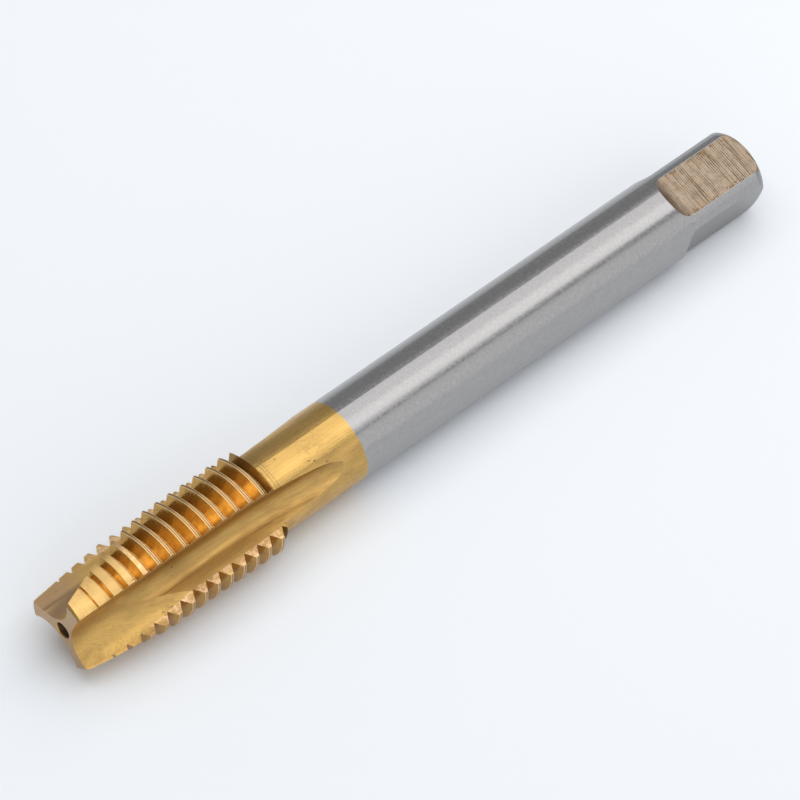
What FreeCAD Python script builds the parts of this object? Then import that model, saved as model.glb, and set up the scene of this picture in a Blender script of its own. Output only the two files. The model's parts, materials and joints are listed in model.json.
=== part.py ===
# Machine tap for a 14 mm thread, ground from one bar: threaded and fluted
# at the front, a plain shank, and a driving square at the back.
# Millimetres. The tap is drawn along X with the middle of its tip face at
# the origin, and is then laid down as it comes to rest, one flute below.

import FreeCAD
import Part
import Sketcher
import math
import os

NODE = "thread_tap"
SQUARE_SIDES = 4

SIZES = [
    # the bar and its ends
    ("overall_length", 110.0),
    ("shank_diameter", 11.0),
    ("end_round", 1.8),
    # the thread
    ("major_diameter", 14.0),
    ("pitch", 2.0),
    ("thread_depth", 1.35),
    ("crest_flat", 0.35),
    ("flank_angle", 30.0),
    ("thread_length", 30.0),
    ("thread_phase", 0.725),
    # the tapered lead that starts the cut, the bevel of the tip face, and the
    # relief behind the lead's edges
    ("lead_diameter", 11.4),
    ("lead_length", 9.8),
    ("tip_diameter", 10.6),
    ("tip_bevel", 0.7),
    ("relief_offset", 0.3),
    # the flutes
    ("flute_count", 3.0),
    ("web_diameter", 5.5),
    ("flute_floor_radius", 1.9),
    ("flute_wall_angle", 34.5),
    ("flute_straight_length", 22.0),
    ("flute_wheel_radius", 60.0),
    # the slanted grind that opens each flute towards the tip
    ("nose_length", 15.0),
    ("nose_radius", 4.0),
    ("nose_wall_angle", 15.0),
    ("nose_side_angle", 9.0),
    ("nose_depth_angle", 12.2),
    # the driving square
    ("square_size", 9.0),
    ("square_length", 12.0),
    ("square_runout_radius", 2.7),
    ("square_turn", 16.0),
    # the centre holes that carried the bar while it was ground
    ("centre_angle", 60.0),
    ("drill_point_angle", 118.0),
    ("tip_centre_diameter", 2.3),
    ("tip_centre_drill", 1.2),
    ("tip_centre_depth", 3.0),
    ("tail_centre_diameter", 4.2),
    ("tail_centre_drill", 2.0),
    ("tail_centre_depth", 5.0),
    # how far a cutting shape reaches past what it cuts, and the thread's past
    # its crests
    ("overrun", 1.5),
    ("thread_overrun", 0.05),
]

doc = FreeCAD.newDocument("tap")
sheet = doc.addObject("Spreadsheet::Sheet", "Sizes")
for row, (name, size) in enumerate(SIZES, start=1):
    sheet.set("A%d" % row, name)
    sheet.set("B%d" % row, str(size))
    sheet.setAlias("B%d" % row, name)
doc.recompute()

body = doc.addObject("PartDesign::Body", "Tap")
body.Label = NODE
doc.recompute()
origin_planes = {feature.Role: feature for feature in body.Origin.OriginFeatures}
long_axis = origin_planes["X_Axis"]


def sizes(text):
    """The expression with each size's name turned into its cell."""
    for name, _ in sorted(SIZES, key=lambda entry: -len(entry[0])):
        text = text.replace("@" + name, "Sizes." + name)
    return text


def value(text):
    """The number that an expression gives now."""
    result = sheet.evalExpression(sizes(text))
    return float(getattr(result, "Value", result))


def new_sketch(name, plane):
    sketch = body.newObject("Sketcher::SketchObject", name)
    sketch.AttachmentSupport = (origin_planes[plane], "")
    sketch.MapMode = "FlatFace"
    return sketch


def bind_length(sketch, kind, edge, end, text):
    """Hold one end of an edge at a distance from the sketch's origin."""
    index = sketch.addConstraint(
        Sketcher.Constraint(kind, -1, 1, edge, end, value(text))
    )
    sketch.setExpression("Constraints[%d]" % index, sizes(text))


def closed_outline(sketch, corners, arcs=None):
    """A closed outline through corners given anticlockwise as pairs of
    expressions. arcs maps an edge's number to the centre and radius of the
    outward arc that takes the place of its straight line."""
    arcs = arcs or {}
    points = [FreeCAD.Vector(value(x), value(y), 0) for x, y in corners]
    count = len(points)
    edges = []
    for number, start in enumerate(points):
        end = points[(number + 1) % count]
        if number in arcs:
            centre_x, centre_y, radius = arcs[number]
            centre = FreeCAD.Vector(value(centre_x), value(centre_y), 0)
            circle = Part.Circle(centre, FreeCAD.Vector(0, 0, 1), value(radius))
            first = math.atan2(start.y - centre.y, start.x - centre.x)
            last = math.atan2(end.y - centre.y, end.x - centre.x)
            if last < first:
                last += 2 * math.pi
            edges.append(sketch.addGeometry(Part.ArcOfCircle(circle, first, last)))
            index = sketch.addConstraint(
                Sketcher.Constraint("Radius", edges[-1], value(radius))
            )
            sketch.setExpression("Constraints[%d]" % index, sizes(radius))
        else:
            edges.append(sketch.addGeometry(Part.LineSegment(start, end)))
    for number, edge in enumerate(edges):
        after = edges[(number + 1) % count]
        sketch.addConstraint(Sketcher.Constraint("Coincident", edge, 2, after, 1))
    for edge, (x, y) in zip(edges, corners):
        bind_length(sketch, "DistanceX", edge, 1, x)
        bind_length(sketch, "DistanceY", edge, 1, y)


def level_axis(sketch, reach, y):
    """A construction line across the sketch at height y, to turn about."""
    start = FreeCAD.Vector(0, value(y), 0)
    end = FreeCAD.Vector(value(reach), value(y), 0)
    line = sketch.addGeometry(Part.LineSegment(start, end), True)
    bind_length(sketch, "DistanceX", line, 1, "0")
    bind_length(sketch, "DistanceY", line, 1, y)
    bind_length(sketch, "DistanceX", line, 2, reach)
    bind_length(sketch, "DistanceY", line, 2, y)


def cut(kind, name, sketch, **settings):
    """Add a feature that removes material, and stop if it removed none."""
    before = body.Tip.Shape.Volume
    feature = body.newObject(kind, name)
    feature.Profile = sketch
    for key, setting in settings.items():
        if isinstance(setting, str):
            feature.setExpression(key, sizes(setting))
        else:
            setattr(feature, key, setting)
    doc.recompute()
    removed = before - feature.Shape.Volume
    if removed <= 0:
        raise RuntimeError("%s removes nothing" % name)
    return feature


def polar(name, originals, count):
    pattern = body.newObject("PartDesign::PolarPattern", name)
    pattern.Originals = originals
    pattern.Axis = (long_axis, [""])
    pattern.Angle = 360
    pattern.setExpression("Occurrences", sizes(count))
    body.Tip = pattern
    doc.recompute()
    return pattern


# The blank: one turned profile, with the tip's bevel, the lead cone, the
# thread at full height, the step down to the shank and the rounded back end.
lead_slope = "((@major_diameter - @lead_diameter)/2/@lead_length)"
full_thread_end = (
    "(@thread_length - (@major_diameter - @shank_diameter)/2*tan(@flank_angle))"
)
end_round_start = "@overall_length - @end_round"
end_flat_radius = "@shank_diameter/2 - @end_round"
blank = new_sketch("BlankProfile", "XZ_Plane")
closed_outline(
    blank,
    [
        ("0", "0"),
        ("@overall_length", "0"),
        ("@overall_length", end_flat_radius),
        (end_round_start, "@shank_diameter/2"),
        ("@thread_length", "@shank_diameter/2"),
        (full_thread_end, "@major_diameter/2"),
        ("@lead_length", "@major_diameter/2"),
        ("@tip_bevel", "@lead_diameter/2 + @tip_bevel*" + lead_slope),
        ("0", "@tip_diameter/2"),
    ],
    arcs={2: (end_round_start, end_flat_radius, "@end_round")},
)
turned = body.newObject("PartDesign::Revolution", "Blank")
turned.Profile = blank
turned.ReferenceAxis = (blank, ["H_Axis"])
turned.Angle = 360
doc.recompute()

# The relief of the lead: a cone about an axis set off to the side, so that
# each land falls away behind its cutting edge.
wall_offset = "(@web_diameter/2 + @flute_floor_radius)*sin(@flute_wall_angle) - @flute_floor_radius"
flute_half = "(@flute_wall_angle*1deg - asin((%s)/(@major_diameter/2)))" % wall_offset
land_half = "(180deg/@flute_count - %s)" % flute_half
relief_drop = "@relief_offset*sin(%s)" % land_half
relief_tip = "sqrt((@lead_diameter/2)^2 + @relief_offset^2) - " + relief_drop
relief_reach = "(@lead_length + @relief_offset/%s)" % lead_slope
relief = new_sketch("ReliefProfile", "XZ_Plane")
relief.setExpression(
    "AttachmentOffset",
    sizes(
        "placement(vector(0;0;-@relief_offset*cos(%s));rotation(0;0;0))" % land_half
    ),
)
closed_outline(
    relief,
    [
        ("-@overrun", "%s - @overrun*%s" % (relief_tip, lead_slope)),
        (relief_reach, "%s + %s*%s" % (relief_tip, relief_reach, lead_slope)),
        (relief_reach, "@major_diameter/2 + @relief_offset + @overrun"),
        ("-@overrun", "@major_diameter/2 + @relief_offset + @overrun"),
    ],
)
level_axis(relief, "@lead_length", "-%s" % relief_drop)
lead_relief = cut(
    "PartDesign::Groove",
    "LeadRelief",
    relief,
    ReferenceAxis=(relief, ["Axis0"]),
    Midplane=True,
    Angle="360/@flute_count",
)

# One flute: a round floor and two flat walls, ground straight and then
# carried out of the shank by the wheel's own radius.
floor_depth = "(@web_diameter/2 + @flute_floor_radius)"
wall_foot_x = "@flute_floor_radius*cos(@flute_wall_angle)"
wall_foot_y = "(%s - @flute_floor_radius*sin(@flute_wall_angle))" % floor_depth
flute_reach = "(@major_diameter/2 + @overrun)"
wall_top_x = "%s + (%s - %s)*tan(@flute_wall_angle)" % (
    wall_foot_x,
    flute_reach,
    wall_foot_y,
)
flute_profile = new_sketch("FluteProfile", "YZ_Plane")
flute_profile.setExpression(
    "AttachmentOffset",
    sizes("placement(vector(0;0;@flute_straight_length);rotation(0;0;0))"),
)
closed_outline(
    flute_profile,
    [
        ("-(%s)" % wall_foot_x, "-" + wall_foot_y),
        ("-(%s)" % wall_top_x, "-" + flute_reach),
        (wall_top_x, "-" + flute_reach),
        (wall_foot_x, "-" + wall_foot_y),
    ],
    arcs={3: ("0", "-" + floor_depth, "@flute_floor_radius")},
)
wheel_centre = "(@web_diameter/2 + @flute_wheel_radius)"
level_axis(flute_profile, "@major_diameter", "-" + wheel_centre)
flute = cut("PartDesign::Pocket", "Flute", flute_profile, Type=1)
flute_end = cut(
    "PartDesign::Groove",
    "FluteRunOut",
    flute_profile,
    ReferenceAxis=(flute_profile, ["Axis0"]),
    Angle="acos((%s - @major_diameter/2)/@flute_wheel_radius)" % wheel_centre,
)

# The slanted grind at the tip: a round-nosed wheel that starts against both
# walls of the flute and runs out through the tip, aside and inwards.
nose_start_depth = "(%s + (@nose_radius - %s*cos(@flute_wall_angle))/sin(@flute_wall_angle))" % (
    wall_foot_y,
    wall_foot_x,
)
nose_profile = new_sketch("NoseProfile", "YZ_Plane")
nose_profile.setExpression(
    "AttachmentOffset",
    sizes(
        "placement(vector(0;-%s;@nose_length);"
        "rotation(0;-@nose_side_angle;@nose_depth_angle))" % nose_start_depth
    ),
)
nose_foot_x = "@nose_radius*cos(@nose_wall_angle)"
nose_foot_y = "@nose_radius*sin(@nose_wall_angle)"
nose_top_x = "(%s + (@major_diameter/2 + %s)*tan(@nose_wall_angle))" % (
    nose_foot_x,
    nose_foot_y,
)
closed_outline(
    nose_profile,
    [
        ("-(%s)" % nose_foot_x, nose_foot_y),
        ("-" + nose_top_x, "-@major_diameter/2"),
        (nose_top_x, "-@major_diameter/2"),
        (nose_foot_x, nose_foot_y),
    ],
    arcs={3: ("0", "0", "@nose_radius")},
)
nose = cut("PartDesign::Pocket", "NoseGrind", nose_profile, Type=1)

polar("Flutes", [lead_relief, flute, flute_end, nose], "@flute_count")

# The driving square: one flat with its rounded shoulder, four times round.
flat_profile = new_sketch("FlatProfile", "XZ_Plane")
flat_profile.setExpression(
    "AttachmentOffset",
    sizes("placement(vector(0;0;0);rotation(vector(1;0;0);@square_turn))"),
)
flat_start = "(@overall_length - @square_length)"
flat_top = "@square_size/2 + @square_runout_radius"
closed_outline(
    flat_profile,
    [
        (flat_start, "@square_size/2"),
        ("@overall_length + @overrun", "@square_size/2"),
        ("@overall_length + @overrun", flat_top),
        ("%s - @square_runout_radius" % flat_start, flat_top),
    ],
    arcs={3: (flat_start, flat_top, "@square_runout_radius")},
)
flat = cut("PartDesign::Pocket", "SquareFlat", flat_profile, Type=1, Midplane=True)
polar("Square", [flat], str(SQUARE_SIDES))


def centre_hole(name, face, inwards, rim, drill, depth):
    """A centre-drilled hole: a conical seat and a pilot with its point."""
    seat_depth = "(%s - %s)/2/tan(@centre_angle/2)" % (rim, drill)
    point_depth = "%s/2/tan(@drill_point_angle/2)" % drill
    sketch = new_sketch(name + "Profile", "XZ_Plane")
    closed_outline(
        sketch,
        [
            (face, "0"),
            (face, "%s/2" % rim),
            ("%s %s %s" % (face, inwards, seat_depth), "%s/2" % drill),
            ("%s %s %s" % (face, inwards, depth), "%s/2" % drill),
            ("%s %s (%s + %s)" % (face, inwards, depth, point_depth), "0"),
        ],
    )
    return cut(
        "PartDesign::Groove", name, sketch, ReferenceAxis=(sketch, ["H_Axis"]), Angle=360.0
    )


centre_hole(
    "TipCentre", "0", "+", "@tip_centre_diameter", "@tip_centre_drill", "@tip_centre_depth"
)
centre_hole(
    "TailCentre",
    "@overall_length",
    "-",
    "@tail_centre_diameter",
    "@tail_centre_drill",
    "@tail_centre_depth",
)

# The thread: a 60 degree groove wound right-handed through lands and lead.
groove_start = "(@thread_phase - @pitch)"
groove_half = "((@pitch - @crest_flat)/2)"
thread_profile = new_sketch("ThreadProfile", "XZ_Plane")
groove_root = "%s - @thread_depth*tan(@flank_angle)" % groove_half
groove_mouth = "%s + @thread_overrun*tan(@flank_angle)" % groove_half
groove_top = "@major_diameter/2 + @thread_overrun"
groove_floor = "@major_diameter/2 - @thread_depth"
closed_outline(
    thread_profile,
    [
        ("%s - (%s)" % (groove_start, groove_root), groove_floor),
        ("%s + (%s)" % (groove_start, groove_root), groove_floor),
        ("%s + (%s)" % (groove_start, groove_mouth), groove_top),
        ("%s - (%s)" % (groove_start, groove_mouth), groove_top),
    ],
)
thread = cut(
    "PartDesign::SubtractiveHelix",
    "Thread",
    thread_profile,
    ReferenceAxis=(thread_profile, ["H_Axis"]),
    Mode=0,
    Pitch="@pitch",
    Height="@thread_length + @pitch/2 - " + groove_start,
)
body.Tip = thread
doc.recompute()

# The tap lies on the last crest corners of its thread, one each side of the
# lowest flute, and on the plain shank just before the square. The flute is
# already running out there, so its walls stand closer together.
run_out = "(%s - @flute_straight_length)" % full_thread_end
floor_rise = "(@flute_wheel_radius - sqrt(@flute_wheel_radius^2 - %s^2))" % run_out
front_offset = "(%s + %s*sin(@flute_wall_angle))" % (wall_offset, floor_rise)
front_half = "(@flute_wall_angle*1deg - asin(%s/(@major_diameter/2)))" % front_offset
front_height = value("@major_diameter/2*cos(%s)" % front_half)
rear_height = value("@shank_diameter/2")
front_contact = value(full_thread_end)
rear_contact = value("%s - @square_runout_radius" % flat_start)
rest_tilt = math.atan2(front_height - rear_height, rear_contact - front_contact)
middle = value("@overall_length/2")
to_middle = FreeCAD.Placement(FreeCAD.Vector(-middle, 0, 0), FreeCAD.Rotation())
laid_down = FreeCAD.Placement(
    FreeCAD.Vector(0, 0, 0),
    FreeCAD.Rotation(FreeCAD.Vector(0, 1, 0), math.degrees(rest_tilt)),
)
body.Placement = laid_down.multiply(to_middle)
doc.recompute()
lowest = body.Shape.optimalBoundingBox(True, False).ZMin
raised = FreeCAD.Placement(FreeCAD.Vector(0, 0, -lowest), FreeCAD.Rotation())
body.Placement = raised.multiply(body.Placement)
doc.recompute()

failed = [
    thing.Label
    for thing in doc.Objects
    if "Invalid" in thing.State or "Error" in thing.State
]
if failed:
    raise RuntimeError("failed features: " + ", ".join(failed))
if body.Shape.isNull() or not body.Shape.isValid() or len(body.Shape.Solids) != 1:
    raise RuntimeError(NODE + " is not one valid solid")

os.makedirs("parts", exist_ok=True)
body.Shape.exportStep("parts/%s.step" % NODE)
box = body.Shape.optimalBoundingBox(True, False)
print(NODE, "volume", round(body.Shape.Volume, 1), "box", box)
print("rest tilt in degrees", round(math.degrees(rest_tilt), 3))
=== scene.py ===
"""Dresses the machine tap's solid: a worn gold-coloured coating on the cutting
end, ground steel behind it, and a milled driving square."""

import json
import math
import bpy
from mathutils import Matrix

bl_info = {
    "name": "Machine tap",
    "version": (1, 1, 0),
    "blender": (4, 5, 0),
    "location": "3D View > Sidebar > Tap",
    "description": "Finishes a machine tap with its coating, ground shank and milled square",
    "category": "Object",
}

from collections import namedtuple

import bpy
from bpy.props import (
    FloatProperty,
    FloatVectorProperty,
    IntProperty,
    PointerProperty,
)
from mathutils import Euler, Matrix, Vector

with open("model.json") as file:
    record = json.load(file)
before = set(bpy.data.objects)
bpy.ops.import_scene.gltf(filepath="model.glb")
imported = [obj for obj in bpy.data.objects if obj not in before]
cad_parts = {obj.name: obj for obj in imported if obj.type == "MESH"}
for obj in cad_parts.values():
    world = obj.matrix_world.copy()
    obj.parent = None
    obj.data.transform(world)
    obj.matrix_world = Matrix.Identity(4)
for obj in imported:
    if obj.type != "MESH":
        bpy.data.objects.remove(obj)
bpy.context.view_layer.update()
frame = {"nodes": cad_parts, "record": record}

MM = 0.001
NODE = "thread_tap"

# The tap's own axes in the frame: its tip, and the way from tip to square.
SHANK = next(m for m in frame["record"]["mounts"] if m["name"] == "shank")
SHANK_MOUNT_FROM_TIP = 68 * MM
AXIS = Vector(SHANK["axis"]).normalized()
TIP = Vector(SHANK["pos_m"]) - AXIS * SHANK_MOUNT_FROM_TIP
DIP = math.atan2(-AXIS.z, AXIS.x)

# The solid's own sizes that the finish follows, in millimetres from the tip.
PITCH = 2.0
THREAD_PHASE = 0.725
CREST_HALF_WIDTH = 0.175
MAJOR_RADIUS = 7.0
LEAD_TIP_RADIUS = 5.7
LEAD_LENGTH = 9.8
LEAD_SLOPE = (MAJOR_RADIUS - LEAD_TIP_RADIUS) / LEAD_LENGTH
THREAD_START = 0.5
THREAD_END = 28.4
NECK_START = 29.5
SHANK_RADIUS = 5.5
SHANK_GIRTH = math.tau * SHANK_RADIUS
SQUARE_START = 95.0
SQUARE_LENGTH = 12.0
FLAT_HALF_WIDTH = 3.16
FLAT_TURN = math.radians(-16)
TIP_CENTRE_RADIUS = 1.15
LANDS = 3
LAND_HEEL_TURN = -31.5 / 360

# Pairs of values between which a zone of the solid fades in or out. These are
# of how far a face looks along the tap, from -1 at the tip to 1 at the square.
SIDE_FACING = (0.4, 0.55)
FLANK_FACING = (0.55, 0.8)
END_FACING = (-0.97, -0.9)

# Pairs of radii, half widths, heights and depths below a land, in millimetres.
CREST_RADII = (MAJOR_RADIUS - 0.07, MAJOR_RADIUS - 0.03)
GROOVE_RADII = (5.9, 6.9)
NECK_FLUTE_RADII = (SHANK_RADIUS - 0.06, SHANK_RADIUS - 0.02)
FLAT_RADII = (SHANK_RADIUS - 0.05, SHANK_RADIUS - 0.02)
FLAT_SIDES = (FLAT_HALF_WIDTH - 0.02, FLAT_HALF_WIDTH + 0.05)
TOP_HEIGHTS = (2.9, 3.1)
CENTRE_HOLE_RADII = (TIP_CENTRE_RADIUS - 0.03, TIP_CENTRE_RADIUS + 0.02)
FLUTE_DEPTHS = (0.35, 0.45)
LEAD_DEPTHS = (0.32, 0.4)
BURR_DEPTHS = (0.06, 1.3)

# Pairs of places along the tap, in millimetres from the tip.
TIP_FACE_END = (0.02, 0.08)
CENTRE_HOLE_START = (0.02, 0.2)
CENTRE_HOLE_END = (6, 7)
FAR_FLUTE_END = (3, 9)
BURR_START = (7, 11)
DULL_START = (8, 16)
NOSE_END = (9, 16)
LEAD_END = (LEAD_LENGTH - 1, LEAD_LENGTH + 2)
NECK_FADE = (NECK_START, NECK_START + 0.2)
# Where the painted shade behind the last crest lies.
STEP_SHADE = (THREAD_END + 0.2, NECK_START + 0.4)
SQUARE_FADE = (SQUARE_START, SQUARE_START + 0.1)

# The marks that making and wear left, and the crests' painted glints, in millimetres.
CREST_EDGE_START = CREST_HALF_WIDTH - 0.07
CREST_EDGE_SOFT = 0.03
NECK_RINGS = (30.5, 30.9)
RING_WIDTH = 0.08
RIM_WIDTH = 1.0
GRIND_LENGTH, GRIND_WIDTH = 14, 0.2
FINE_LENGTH, FINE_WIDTH = 4, 0.1
MILLING_WANDER = 0.3
COAT_END_WANDER = 0.2
COAT_END_SOFT = 0.04

# How many times coarser grinding lines are up a wall than round the tap, the
# far flute's place in turns, the clean spot's place as a share of the way from
# one land's heel to the next, and the scratches' slant in radians.
UP_THE_WALLS = 3
FAR_FLUTE_TURNS = (0.09, 0.24)
CLEAN_SPOT_PLACE = (0.05, 0.13)
SCRATCH_SLANT = (0.3, 0.5, 0.9)

# The bump of the marks: its depth in metres, and its strength.
BUMP_DEPTH = 0.03 * MM
BUMP_STRENGTH = 0.55

# Tones that the marks and the painted shade add to the user's own colours, and
# how much paler or duller than its own colour the steel is in places.
BURNT_ORANGE = (0.42, 0.17, 0.05)
CLEAN_GOLD = (0.86, 0.56, 0.20)
BURR_COPPER = (0.86, 0.58, 0.36)
CREST_BROWN = (0.27, 0.165, 0.07)
TIP_BRONZE = (0.44, 0.29, 0.17)
# Painted shade inside the centre hole.
CENTRE_HOLE_SHADE = (0.06, 0.035, 0.015)
# Painted shade behind the last crest of the thread.
NECK_SHADE_TONE = (0.16, 0.09, 0.04)
RUST = (0.40, 0.24, 0.13)
PALE_STEEL = 1.06
DULL_STEEL = 0.93
SQUARE_STEEL = 0.84

# The stage: the floor and the two overhead lamps in metres and degrees, where
# the surround's brighter near side ends, as the Y of a direction one long, and
# the camera's sensor in millimetres and its farthest sight in metres.
FLOOR_HALF = 3.0
LAMP_LENGTH = 0.9
LAMP_REACH = 0.5
LAMP_ALONG = 0.22
NEAR_LAMP_LEAN, NEAR_LAMP_DEPTH = -16, 0.27
FAR_LAMP_LEAN, FAR_LAMP_DEPTH = 17, 0.32
FRONT_LIGHT_FULL = -0.66
FRONT_LIGHT_GONE = -0.56
SENSOR_WIDTH = 36
CAMERA_SIGHT = 20

Surface = namedtuple("Surface", "colour roughness height")


def colour_property(name, description, default):
    return FloatVectorProperty(
        name=name, description=description, default=default, subtype="COLOR", size=3, min=0, max=1
    )


class TapFinish(bpy.types.PropertyGroup):
    coating_length: FloatProperty(
        name="Coating length",
        description="How far the gold-coloured coating reaches from the tip",
        default=43 * MM,
        subtype="DISTANCE",
        unit="LENGTH",
    )
    milling_lines: IntProperty(
        name="Milling lines",
        description="How many cutter lines lie across the flat on top of the square",
        default=42,
        min=0,
        max=200,
    )
    coating_colour: colour_property(
        "Coating", "Colour of the coating where it is clean", (0.64, 0.40, 0.125)
    )
    bronze_colour: colour_property(
        "Bronzed coating", "Colour of the coating where it has darkened", (0.37, 0.225, 0.08)
    )
    groove_colour: colour_property(
        "Thread groove", "Colour of the coating down in the thread", (0.52, 0.30, 0.09)
    )
    # This colour is painted light: glints along the crests' edges and a highlight on the lead's
    # lands.
    glint_colour: colour_property(
        "Worn edge", "Colour of the coating along the thread's edges", (0.95, 0.68, 0.38)
    )
    steel_colour: colour_property("Ground steel", "Colour of the bare shank", (0.365, 0.355, 0.35))
    milled_colour: colour_property(
        "Milled flat", "Colour of the stained flat on top of the square", (0.42, 0.335, 0.25)
    )
    stain_colour: colour_property("Stain", "Colour of rust and old oil", (0.13, 0.08, 0.045))


class TapStage(bpy.types.PropertyGroup):
    azimuth: FloatProperty(
        name="Azimuth",
        description="Where the camera stands round the tap",
        default=math.radians(-42.44),
        subtype="ANGLE",
        unit="ROTATION",
    )
    elevation: FloatProperty(
        name="Elevation",
        description="How high the camera stands above the floor",
        default=math.radians(50.48),
        subtype="ANGLE",
        unit="ROTATION",
    )
    roll: FloatProperty(
        name="Roll",
        description="How far the camera is turned about its own line of sight",
        default=math.radians(-0.29),
        subtype="ANGLE",
        unit="ROTATION",
    )
    distance: FloatProperty(
        name="Distance",
        description="From the camera to the point that it looks at",
        default=752.5 * MM,
        subtype="DISTANCE",
        unit="LENGTH",
    )
    aim: FloatVectorProperty(
        name="Aim",
        description="The point in the middle of the picture",
        default=(-1.95 * MM, -0.105 * MM, 5.92 * MM),
        subtype="TRANSLATION",
        unit="LENGTH",
        size=3,
    )
    lens: FloatProperty(
        name="Lens",
        description="Focal length on a 36 mm sensor, in millimetres",
        default=281.2,
    )
    background: colour_property(
        "Background", "Colour of the floor and of what lies behind it", (0.925, 0.95, 0.98)
    )
    near_lamp: FloatProperty(
        name="Near lamp",
        description="Power of the overhead lamp on the camera's side",
        default=1.15,
        unit="POWER",
    )
    far_lamp: FloatProperty(
        name="Far lamp",
        description="Power of the overhead lamp on the far side",
        default=1.0,
        unit="POWER",
    )
    surround: FloatProperty(
        name="Surround", description="Strength of the dim light all round", default=0.43
    )
    front_light: FloatProperty(
        name="Front light", description="Strength of the surround on the near side", default=1.15
    )


class Shader:
    """One material, built node by node."""

    def __init__(self, name):
        self.material = bpy.data.materials.new(name)
        self.material.use_nodes = True
        self.tree = self.material.node_tree
        self.surface = self.tree.nodes["Principled BSDF"]

    def node(self, kind, inputs=None, **settings):
        made = self.tree.nodes.new(kind)
        for key, setting in settings.items():
            setattr(made, key, setting)
        for socket, source in (inputs or {}).items():
            self.feed(made.inputs[socket], source)
        return made

    def feed(self, socket, source):
        if isinstance(source, bpy.types.NodeSocket):
            self.tree.links.new(source, socket)
        else:
            socket.default_value = source

    def math(self, operation, *values):
        made = self.tree.nodes.new("ShaderNodeMath")
        made.operation = operation
        for socket, source in zip(made.inputs, values):
            self.feed(socket, source)
        return made.outputs[0]

    def add(self, *values):
        total = values[0]
        for value in values[1:]:
            total = self.math("ADD", total, value)
        return total

    def product(self, *values):
        total = values[0]
        for value in values[1:]:
            total = self.math("MULTIPLY", total, value)
        return total

    def outside(self, mask):
        """One where a mask is nothing, and nothing where it is one."""
        return self.math("SUBTRACT", 1.0, mask)

    def ramp(self, source, low, high, to_low=0.0, to_high=1.0):
        """source's range from low to high, eased to another range."""
        made = self.node(
            "ShaderNodeMapRange",
            {0: source, 1: low, 2: high, 3: to_low, 4: to_high},
            interpolation_type="SMOOTHSTEP",
        )
        return made.outputs[0]

    def under(self, source, low, high):
        """One below a range, falling to nothing above it."""
        return self.ramp(source, low, high, 1.0, 0.0)

    def between(self, source, low, high, soft):
        """One inside a range, falling to nothing over a soft edge."""
        rise = self.ramp(source, low - soft, low)
        return self.product(rise, self.under(source, high, high + soft))

    def mix(self, factor, first, second):
        made = self.tree.nodes.new("ShaderNodeMix")
        made.data_type = "RGBA"
        self.feed(made.inputs["Factor"], factor)
        for socket, source in (("A", first), ("B", second)):
            colour = [s for s in made.inputs if s.name == socket and s.type == "RGBA"][0]
            self.feed(colour, source if hasattr(source, "node") else (*source, 1))
        return [s for s in made.outputs if s.type == "RGBA"][0]

    def noise(self, where, scale=1.0, detail=3.0, roughness=0.55):
        made = self.node(
            "ShaderNodeTexNoise",
            {"Vector": where, "Scale": scale, "Detail": detail, "Roughness": roughness},
        )
        return made.outputs["Fac"]

    def specks(self, where, scale, size):
        """Small round marks scattered at random."""
        made = self.node("ShaderNodeTexVoronoi", {"Vector": where, "Scale": scale})
        return self.under(made.outputs["Distance"], size * 0.5, size)

    def stretched(self, where, along, across):
        """Coordinates for marks drawn out along the tap or across it."""
        made = self.node(
            "ShaderNodeMapping", {"Vector": where, "Scale": (1 / along, 1 / across, 1 / across)}
        )
        return made.outputs[0]

    def bump(self, height, strength, distance):
        made = self.node(
            "ShaderNodeBump",
            {"Height": height, "Strength": strength, "Distance": distance},
        )
        self.feed(self.surface.inputs["Normal"], made.outputs[0])


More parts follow.
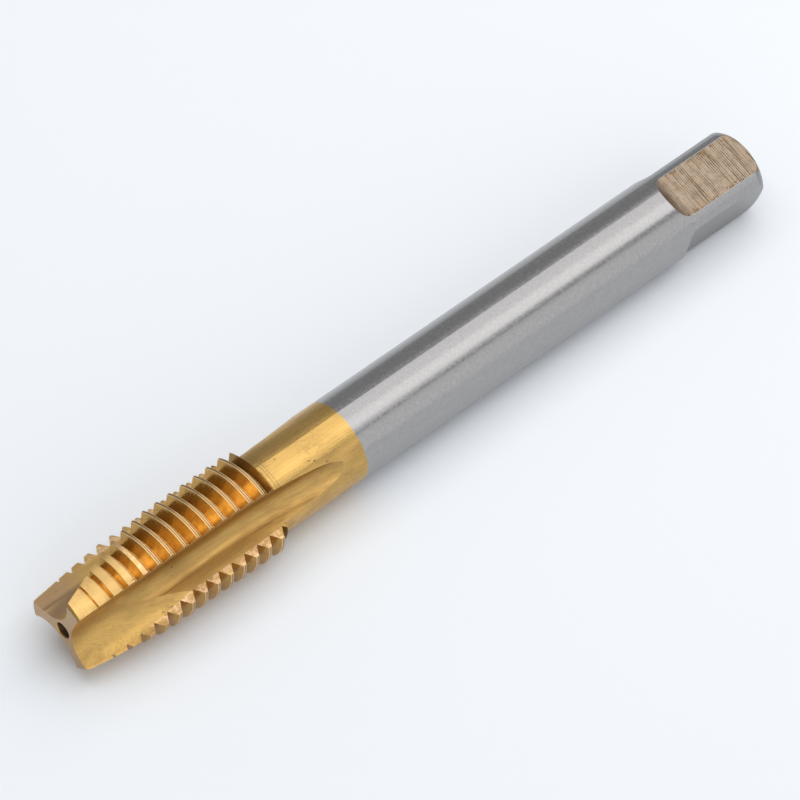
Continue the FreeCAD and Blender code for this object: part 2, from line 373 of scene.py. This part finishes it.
class TapShader(Shader):
    """The tap's own material, with a mask for each zone of its solid."""

    def __init__(self, name, finish):
        super().__init__(name)
        self.finish = finish
        self.where = self.tap_axes()
        self.measure_round_the_axis()
        self.measure_facing()
        self.mark_thread()
        self.mark_flutes_and_lead()
        self.mark_square()

    def tap_axes(self):
        """Object coordinates turned to the tap's own axes, in millimetres."""
        place = self.node("ShaderNodeTexCoord").outputs["Object"]
        turn = Euler((0, -DIP, 0))
        shift = -(turn.to_matrix() @ TIP) / MM
        made = self.node(
            "ShaderNodeMapping",
            {
                "Vector": place,
                "Scale": (1 / MM, 1 / MM, 1 / MM),
                "Rotation": turn,
                "Location": shift,
            },
        )
        return made.outputs[0]

    def measure_round_the_axis(self):
        """Distance along the tap, angle round it in turns, and radius."""
        self.along, across, up = self.node("ShaderNodeSeparateXYZ", {0: self.where}).outputs
        self.turns = self.math("DIVIDE", self.math("ARCTAN2", across, up), math.tau)
        squares = self.math("ADD", self.math("POWER", across, 2), self.math("POWER", up, 2))
        self.radius = self.math("SQRT", squares)

    def measure_facing(self):
        """How far the surface faces along the tap, from tip to square."""
        normal = self.node("ShaderNodeNewGeometry").outputs["Normal"]
        made = self.node("ShaderNodeVectorMath", {0: normal, 1: AXIS}, operation="DOT_PRODUCT")
        self.facing = made.outputs["Value"]
        self.steep = self.math("ABSOLUTE", self.facing)
        self.sideways = self.under(self.steep, *SIDE_FACING)

    def mark_thread(self):
        """The thread's groove, its crests and the crests' edges."""
        wound = self.add(self.along, self.product(self.turns, PITCH), -THREAD_PHASE)
        phase = self.math("FRACT", self.math("DIVIDE", wound, PITCH))
        from_crest = self.product(self.math("ABSOLUTE", self.add(phase, -0.5)), PITCH)
        self.threaded = self.between(self.along, THREAD_START, THREAD_END, soft=0.3)
        self.in_groove = self.product(self.threaded, self.ramp(self.steep, *FLANK_FACING))
        self.on_crest = self.product(self.threaded, self.ramp(self.radius, *CREST_RADII))
        # The crests' edges, where a painted glint goes.
        edge = self.ramp(from_crest, CREST_EDGE_START, CREST_EDGE_START + CREST_EDGE_SOFT)
        self.glint_edge = self.product(self.on_crest, edge)

    def mark_flutes_and_lead(self):
        """The flutes between the lands and in the neck, and the tapered lead."""
        cone = self.add(self.product(self.along, LEAD_SLOPE), LEAD_TIP_RADIUS)
        land = self.math("MINIMUM", cone, MAJOR_RADIUS)
        self.below_land = self.math("SUBTRACT", land, self.radius)
        on_neck = self.ramp(self.along, *NECK_FADE)
        deep = self.ramp(self.below_land, *FLUTE_DEPTHS)
        at_lands = self.product(deep, self.outside(on_neck))
        at_neck = self.product(self.under(self.radius, *NECK_FLUTE_RADII), on_neck)
        self.in_flute = self.product(self.add(at_lands, at_neck), self.sideways)
        self.off_flute = self.outside(self.in_flute)
        self.on_lead = self.product(
            self.under(self.along, *LEAD_END),
            self.under(self.below_land, *LEAD_DEPTHS),
            self.sideways,
        )

    def mark_square(self):
        """The square's four flats, and the one on top with its way across."""
        self.on_square = self.product(
            self.ramp(self.along, *SQUARE_FADE), self.under(self.radius, *FLAT_RADII)
        )
        turned = self.node(
            "ShaderNodeMapping", {"Vector": self.where, "Rotation": Euler((FLAT_TURN, 0, 0))}
        )
        _, aside, up = self.node("ShaderNodeSeparateXYZ", {0: turned.outputs[0]}).outputs
        self.aside = self.math("ABSOLUTE", aside)
        self.on_top = self.product(
            self.on_square,
            self.under(self.aside, *FLAT_SIDES),
            self.ramp(up, *TOP_HEIGHTS),
        )

    def lengthwise(self, length, width):
        """Coordinates for lines along the tap, coarser up its walls than round it."""
        scaled = {
            0: self.math("DIVIDE", self.along, length),
            1: self.math("DIVIDE", self.product(self.turns, SHANK_GIRTH), width),
            2: self.math("DIVIDE", self.radius, width * UP_THE_WALLS),
        }
        return self.node("ShaderNodeCombineXYZ", scaled).outputs[0]

    def tint(self, mask, strength, colour, tone):
        """colour with a tone laid over it where a mask says."""
        return self.mix(self.product(mask, strength), colour, tone)


def ground_gold(tap, grind, clouds):
    """Clean coating with brown clouds and the dark lines of grinding."""
    finish = tap.finish
    cloudy = tap.ramp(clouds, 0.42, 0.66, to_low=0.1, to_high=0.6)
    colour = tap.mix(cloudy, finish.coating_colour, finish.bronze_colour)
    dark_lines = tap.product(
        tap.ramp(grind, 0.48, 0.62),
        tap.ramp(tap.in_flute, 0, 1, to_low=0.25, to_high=0.6),
        tap.ramp(tap.along, *NOSE_END, to_low=0.45),
    )
    colour = tap.mix(dark_lines, colour, finish.bronze_colour)
    dullness = tap.ramp(tap.along, *DULL_START, to_high=0.3)
    return tap.tint(tap.in_flute, dullness, colour, finish.bronze_colour)


def turned_lead(tap, colour):
    """Fine lines round the lead, which was turned before it was relieved."""
    rounds = tap.noise(tap.stretched(tap.where, along=0.12, across=5), detail=3)
    return tap.tint(
        tap.on_lead, tap.ramp(rounds, 0.5, 0.65, to_high=0.4), colour, tap.finish.bronze_colour
    )


def stained_groove(tap, colour, clouds):
    """Orange down in the thread, burnt in spots and clean by each land's heel."""
    low_down = tap.ramp(tap.radius, *GROOVE_RADII, to_low=1.0, to_high=0.35)
    colour = tap.tint(tap.in_groove, low_down, colour, tap.finish.groove_colour)
    burnt = tap.ramp(tap.noise(tap.where, scale=1.2, detail=2), 0.5, 0.66, to_high=0.3)
    colour = tap.tint(tap.in_groove, burnt, colour, BURNT_ORANGE)
    past_heel = tap.math(
        "FRACT", tap.product(tap.add(tap.turns, 1 - LAND_HEEL_TURN), float(LANDS))
    )
    clean_spot = tap.product(
        tap.in_groove,
        tap.between(past_heel, *CLEAN_SPOT_PLACE, soft=0.05),
        tap.ramp(clouds, 0.35, 0.6),
    )
    return tap.tint(clean_spot, 0.8, colour, CLEAN_GOLD)


def burred_faces(tap, colour):
    """Coppery burrs on the cutting faces, between the thread's teeth."""
    burr_zone = tap.product(
        tap.threaded,
        tap.sideways,
        tap.between(tap.below_land, *BURR_DEPTHS, soft=0.1),
        tap.ramp(tap.along, *BURR_START),
    )
    rough = tap.noise(tap.where, scale=1.9, detail=3, roughness=0.7)
    burred = tap.ramp(rough, 0.44, 0.58, to_low=0.1, to_high=0.7)
    return tap.tint(burr_zone, burred, colour, BURR_COPPER)


def crest_tops_and_glints(tap, colour):
    """Darker crest tops between two painted glints along their edges, and a painted highlight on
    the lead's lands.
    """
    # A painted highlight on the lead's lands, which face the lamp.
    colour = tap.tint(tap.on_lead, 0.12, colour, tap.finish.glint_colour)
    colour = tap.tint(tap.on_crest, 0.8, colour, CREST_BROWN)
    # Painted glints along both edges of each crest.
    return tap.tint(tap.glint_edge, 0.95, colour, tap.finish.glint_colour)


def bronzed_tip(tap, colour):
    """The tip's face, the flute beside it, and painted shade in the centre hole."""
    tip_face = tap.product(
        tap.under(tap.along, *TIP_FACE_END), tap.under(tap.facing, *END_FACING)
    )
    colour = tap.tint(tip_face, 0.85, colour, TIP_BRONZE)
    far_flute = tap.product(
        tap.between(tap.turns, *FAR_FLUTE_TURNS, soft=0.03),
        tap.in_flute,
        tap.ramp(tap.along, *FAR_FLUTE_END, to_low=0.8, to_high=0.0),
    )
    colour = tap.mix(far_flute, colour, TIP_BRONZE)
    # The centre hole, painted nearly black as painted shade.
    in_centre_hole = tap.product(
        tap.under(tap.radius, *CENTRE_HOLE_RADII),
        tap.ramp(tap.along, *CENTRE_HOLE_START),
        tap.under(tap.along, *CENTRE_HOLE_END),
    )
    return tap.mix(in_centre_hole, colour, CENTRE_HOLE_SHADE)


def painted_neck_shade(tap, colour):
    """Painted shade behind the last crest, where the thread ends and the neck starts."""
    shade_band = tap.between(tap.along, *STEP_SHADE, soft=0.3)
    return tap.tint(tap.product(shade_band, 0.6), tap.off_flute, colour, NECK_SHADE_TONE)


def pitted(tap, colour, patches):
    """Small dark pits, in patches."""
    places = tap.stretched(tap.where, along=2.2, across=0.9)
    pits = tap.product(tap.specks(places, scale=1.1, size=0.13), patches)
    return tap.tint(pits, 0.8, colour, tap.finish.stain_colour)


def scratch_marks(tap, patches):
    """Thin slanting scratches, in patches."""
    slanting = tap.node(
        "ShaderNodeMapping", {"Vector": tap.where, "Rotation": Euler(SCRATCH_SLANT)}
    )
    places = tap.stretched(slanting.outputs[0], along=6, across=0.35)
    from_line = tap.math("ABSOLUTE", tap.add(tap.noise(places, scale=0.9, detail=2), -0.5))
    return tap.product(tap.under(from_line, 0.0, 0.012), patches)


def neck_ring_marks(tap):
    """The two fine rings turned round the neck behind the thread."""
    rings = [tap.between(tap.along, ring, ring + RING_WIDTH, soft=0.07) for ring in NECK_RINGS]
    return tap.product(tap.add(*rings), tap.off_flute)


def coating(tap):
    """The worn gold-coloured coating on the cutting end."""
    grind = tap.noise(tap.lengthwise(GRIND_LENGTH, GRIND_WIDTH), detail=3, roughness=0.7)
    fine = tap.noise(tap.lengthwise(FINE_LENGTH, FINE_WIDTH), detail=2, roughness=0.6)
    clouds = tap.noise(tap.stretched(tap.where, along=5, across=2.2), scale=0.8, detail=4)
    patches = tap.ramp(tap.noise(tap.where, scale=0.22, detail=2), 0.5, 0.6)
    scratches = scratch_marks(tap, patches)
    rings = neck_ring_marks(tap)

    colour = ground_gold(tap, grind, clouds)
    colour = turned_lead(tap, colour)
    colour = stained_groove(tap, colour, clouds)
    colour = burred_faces(tap, colour)
    colour = crest_tops_and_glints(tap, colour)
    colour = bronzed_tip(tap, colour)
    # Painted shade behind the thread's last crest.
    colour = painted_neck_shade(tap, colour)
    colour = pitted(tap, colour, patches)
    colour = tap.tint(scratches, 0.45, colour, tap.finish.stain_colour)
    colour = tap.tint(rings, 0.6, colour, tap.finish.bronze_colour)

    roughness = tap.add(
        tap.ramp(fine, 0.3, 0.7, to_low=0.20, to_high=0.32),
        tap.product(tap.ramp(clouds, 0.4, 0.7), 0.06),
        tap.product(tap.in_flute, 0.17),
        tap.product(tap.in_groove, -0.07),
        tap.product(tap.on_crest, 0.1),
        tap.product(tap.on_lead, 0.06),
    )
    height = tap.add(
        tap.product(grind, 0.5),
        tap.product(fine, 0.35),
        tap.product(rings, -0.8),
        tap.product(scratches, -0.4),
    )
    return Surface(colour, roughness, height)


def ground_shank(tap, ground, speckle):
    """Bare steel, ground round and lightly speckled, with a few nicks."""
    pale = tuple(PALE_STEEL * c for c in tap.finish.steel_colour)
    dull = tuple(DULL_STEEL * c for c in tap.finish.steel_colour)
    colour = tap.mix(tap.ramp(speckle, 0.35, 0.68), dull, pale)
    colour = tap.mix(tap.ramp(ground, 0.5, 0.8, to_high=0.2), colour, dull)
    nicks = tap.specks(tap.where, scale=0.7, size=0.06)
    return tap.tint(nicks, 0.5, colour, tap.finish.stain_colour)


def milling_lines(tap):
    """The cutter's wandering lines across the square's top flat."""
    wander = tap.product(tap.noise(tap.where, scale=0.45, detail=2), MILLING_WANDER)
    turn_of_line = tap.product(
        tap.add(tap.along, wander), tap.finish.milling_lines / SQUARE_LENGTH * math.tau
    )
    wave = tap.ramp(tap.math("SINE", turn_of_line), -1, 1)
    across = tap.noise(tap.stretched(tap.where, along=0.2, across=10), detail=4, roughness=0.85)
    broad = tap.noise(tap.stretched(tap.where, along=1.4, across=6), detail=2)
    return tap.add(
        tap.product(wave, tap.ramp(broad, 0.4, 0.6, to_low=0.06, to_high=0.3)),
        tap.product(across, 1.1),
    )


def milled_flat(tap, lines, blots):
    """The stained top flat, with more blots and rust towards its sides."""
    finish = tap.finish
    rim = tap.ramp(tap.aside, FLAT_HALF_WIDTH - RIM_WIDTH, FLAT_HALF_WIDTH, to_low=0.3)
    colour = tap.mix(tap.ramp(lines, 0.47, 0.66), finish.stain_colour, finish.milled_colour)
    colour = tap.tint(blots, rim, colour, finish.stain_colour)
    rusty = tap.noise(tap.where, scale=0.7, detail=3, roughness=0.7)
    return tap.tint(tap.ramp(rusty, 0.45, 0.6, to_high=0.4), rim, colour, RUST)


def bare_steel(tap):
    """The ground shank behind the coating, and the milled square."""
    ground = tap.noise(tap.stretched(tap.where, along=0.16, across=2.5), detail=4)
    speckle = tap.noise(tap.where, scale=2.6, detail=4, roughness=0.7)
    lines = milling_lines(tap)
    spots = tap.noise(tap.where, scale=1.5, detail=4, roughness=0.8)
    blots = tap.ramp(spots, 0.51, 0.58, to_high=0.9)

    plain_side = tuple(SQUARE_STEEL * c for c in tap.finish.steel_colour)
    colour = tap.mix(tap.on_square, ground_shank(tap, ground, speckle), plain_side)
    colour = tap.mix(tap.on_top, colour, milled_flat(tap, lines, blots))

    roughness = tap.add(
        tap.ramp(speckle, 0.3, 0.7, to_low=0.19, to_high=0.27),
        tap.product(tap.on_square, 0.12),
        tap.product(tap.on_top, 0.12),
    )
    milled_height = tap.add(tap.product(lines, 1.6), tap.product(blots, -0.5))
    height = tap.add(
        tap.product(ground, 0.10),
        tap.product(speckle, 0.05),
        tap.product(tap.on_top, milled_height),
    )
    return Surface(colour, roughness, height)


def behind_the_coating(tap):
    """One behind the coating's slightly uneven end, nothing in front of it."""
    coat_end = tap.finish.coating_length / MM
    uneven = tap.add(tap.noise(tap.where, scale=0.9, detail=2), -0.5)
    place = tap.add(tap.along, tap.product(uneven, COAT_END_WANDER))
    return tap.ramp(place, coat_end - COAT_END_SOFT, coat_end + COAT_END_SOFT)


def tap_finish_material(finish):
    """The whole bar's finish: the coating in front and bare steel behind."""
    tap = TapShader("tap_finish", finish)
    front = coating(tap)
    back = bare_steel(tap)
    behind = behind_the_coating(tap)
    in_front = tap.outside(behind)
    tap.feed(tap.surface.inputs["Base Color"], tap.mix(behind, front.colour, back.colour))
    tap.surface.inputs["Metallic"].default_value = 1
    roughness = tap.add(
        tap.product(front.roughness, in_front), tap.product(back.roughness, behind)
    )
    tap.feed(tap.surface.inputs["Roughness"], roughness)
    height = tap.add(tap.product(front.height, in_front), tap.product(back.height, behind))
    tap.bump(height, BUMP_STRENGTH, BUMP_DEPTH)
    return tap.material


class TAP_OT_body(bpy.types.Operator):
    """Finish the tap's bar: coating, ground shank and milled square"""

    bl_idname = "tap.body"
    bl_label = "Tap body"

    def execute(self, context):
        solid = frame["nodes"][NODE]
        solid.data.materials.clear()
        solid.data.materials.append(tap_finish_material(context.scene.tap_finish))
        return {"FINISHED"}


class TAP_OT_stage(bpy.types.Operator):
    """Lay the pale floor, hang the two lamps and stand the camera"""

    bl_idname = "tap.stage"
    bl_label = "Stage"

    def execute(self, context):
        stage = context.scene.tap_stage
        lay_floor(context, stage)
        hang_lamp(context, "near_lamp", stage.near_lamp, NEAR_LAMP_LEAN, NEAR_LAMP_DEPTH)
        hang_lamp(context, "far_lamp", stage.far_lamp, FAR_LAMP_LEAN, FAR_LAMP_DEPTH)
        context.scene.world = studio_world(stage)
        stand_camera(context, stage)
        context.scene.view_settings.view_transform = "Standard"
        return {"FINISHED"}


def lay_floor(context, stage):
    """A wide square floor, level with what the tap lies on."""
    corners = [(-1, -1), (1, -1), (1, 1), (-1, 1)]
    mesh = bpy.data.meshes.new("floor")
    mesh.from_pydata([(x * FLOOR_HALF, y * FLOOR_HALF, 0) for x, y in corners], [], [(0, 1, 2, 3)])
    mesh.materials.append(pale_floor(stage))
    floor = bpy.data.objects.new("floor", mesh)
    context.scene.collection.objects.link(floor)


def pale_floor(stage):
    """A plain matt floor in the background's own colour."""
    shader = Shader("pale_floor")
    shader.surface.inputs["Base Color"].default_value = (*stage.background, 1)
    shader.surface.inputs["Roughness"].default_value = 0.9
    shader.surface.inputs["Specular IOR Level"].default_value = 0.1
    return shader.material


def hang_lamp(context, name, power, lean, depth):
    """A long soft box above the tap, leaning by degrees towards the far side."""
    lamp = bpy.data.lights.new(name, "AREA")
    lamp.shape = "RECTANGLE"
    lamp.size = LAMP_LENGTH
    lamp.size_y = depth
    lamp.energy = power
    made = bpy.data.objects.new(name, lamp)
    lean = math.radians(lean)
    made.location = (LAMP_ALONG, LAMP_REACH * math.sin(lean), LAMP_REACH * math.cos(lean))
    made.rotation_euler = (-lean, 0, 0)
    context.scene.collection.objects.link(made)


def studio_world(stage):
    """A dim surround that is brighter low down on the near side."""
    world = bpy.data.worlds.new("studio")
    world.use_nodes = True
    tree = world.node_tree
    back = tree.nodes["Background"]
    place = tree.nodes.new("ShaderNodeTexCoord")
    split = tree.nodes.new("ShaderNodeSeparateXYZ")
    tree.links.new(place.outputs["Generated"], split.inputs[0])
    strength = tree.nodes.new("ShaderNodeMapRange")
    strength.interpolation_type = "SMOOTHSTEP"
    tree.links.new(split.outputs["Y"], strength.inputs["Value"])
    settings = (FRONT_LIGHT_FULL, FRONT_LIGHT_GONE, stage.front_light, stage.surround)
    for socket, setting in enumerate(settings, start=1):
        strength.inputs[socket].default_value = setting
    back.inputs["Color"].default_value = (*stage.background, 1)
    tree.links.new(strength.outputs[0], back.inputs["Strength"])
    return world


def stand_camera(context, stage):
    """The photograph's own view, worked out from its angles and distance."""
    camera = bpy.data.objects.new("camera", bpy.data.cameras.new("camera"))
    context.scene.collection.objects.link(camera)
    context.scene.camera = camera
    camera.data.lens = stage.lens
    camera.data.sensor_width = SENSOR_WIDTH
    camera.data.clip_end = CAMERA_SIGHT
    level = math.cos(stage.elevation)
    back = Vector(
        (
            math.sin(stage.azimuth) * level,
            -math.cos(stage.azimuth) * level,
            math.sin(stage.elevation),
        )
    )
    camera.location = Vector(stage.aim) + back * stage.distance
    turn = (-back).to_track_quat("-Z", "Y").to_matrix() @ Matrix.Rotation(-stage.roll, 3, "Z")
    camera.rotation_euler = turn.to_euler()


class TAP_PT_panel(bpy.types.Panel):
    """The tap's finish and its stage"""

    bl_idname = "TAP_PT_panel"
    bl_label = "Machine tap"
    bl_space_type = "VIEW_3D"
    bl_region_type = "UI"
    bl_category = "Tap"

    def draw(self, context):
        layout = self.layout
        for group in (context.scene.tap_finish, context.scene.tap_stage):
            box = layout.box()
            for name in group.__annotations__:
                box.prop(group, name)
        layout.operator(TAP_OT_body.bl_idname)
        layout.operator(TAP_OT_stage.bl_idname)


CLASSES = (TapFinish, TapStage, TAP_OT_body, TAP_OT_stage, TAP_PT_panel)


def register():
    for cls in CLASSES:
        bpy.utils.register_class(cls)
    bpy.types.Scene.tap_finish = PointerProperty(type=TapFinish)
    bpy.types.Scene.tap_stage = PointerProperty(type=TapStage)


def unregister():
    del bpy.types.Scene.tap_stage
    del bpy.types.Scene.tap_finish
    for cls in reversed(CLASSES):
        bpy.utils.unregister_class(cls)


def main():
    register()
    bpy.ops.tap.body()
    bpy.ops.tap.stage()


if __name__ == "__main__":
    main()
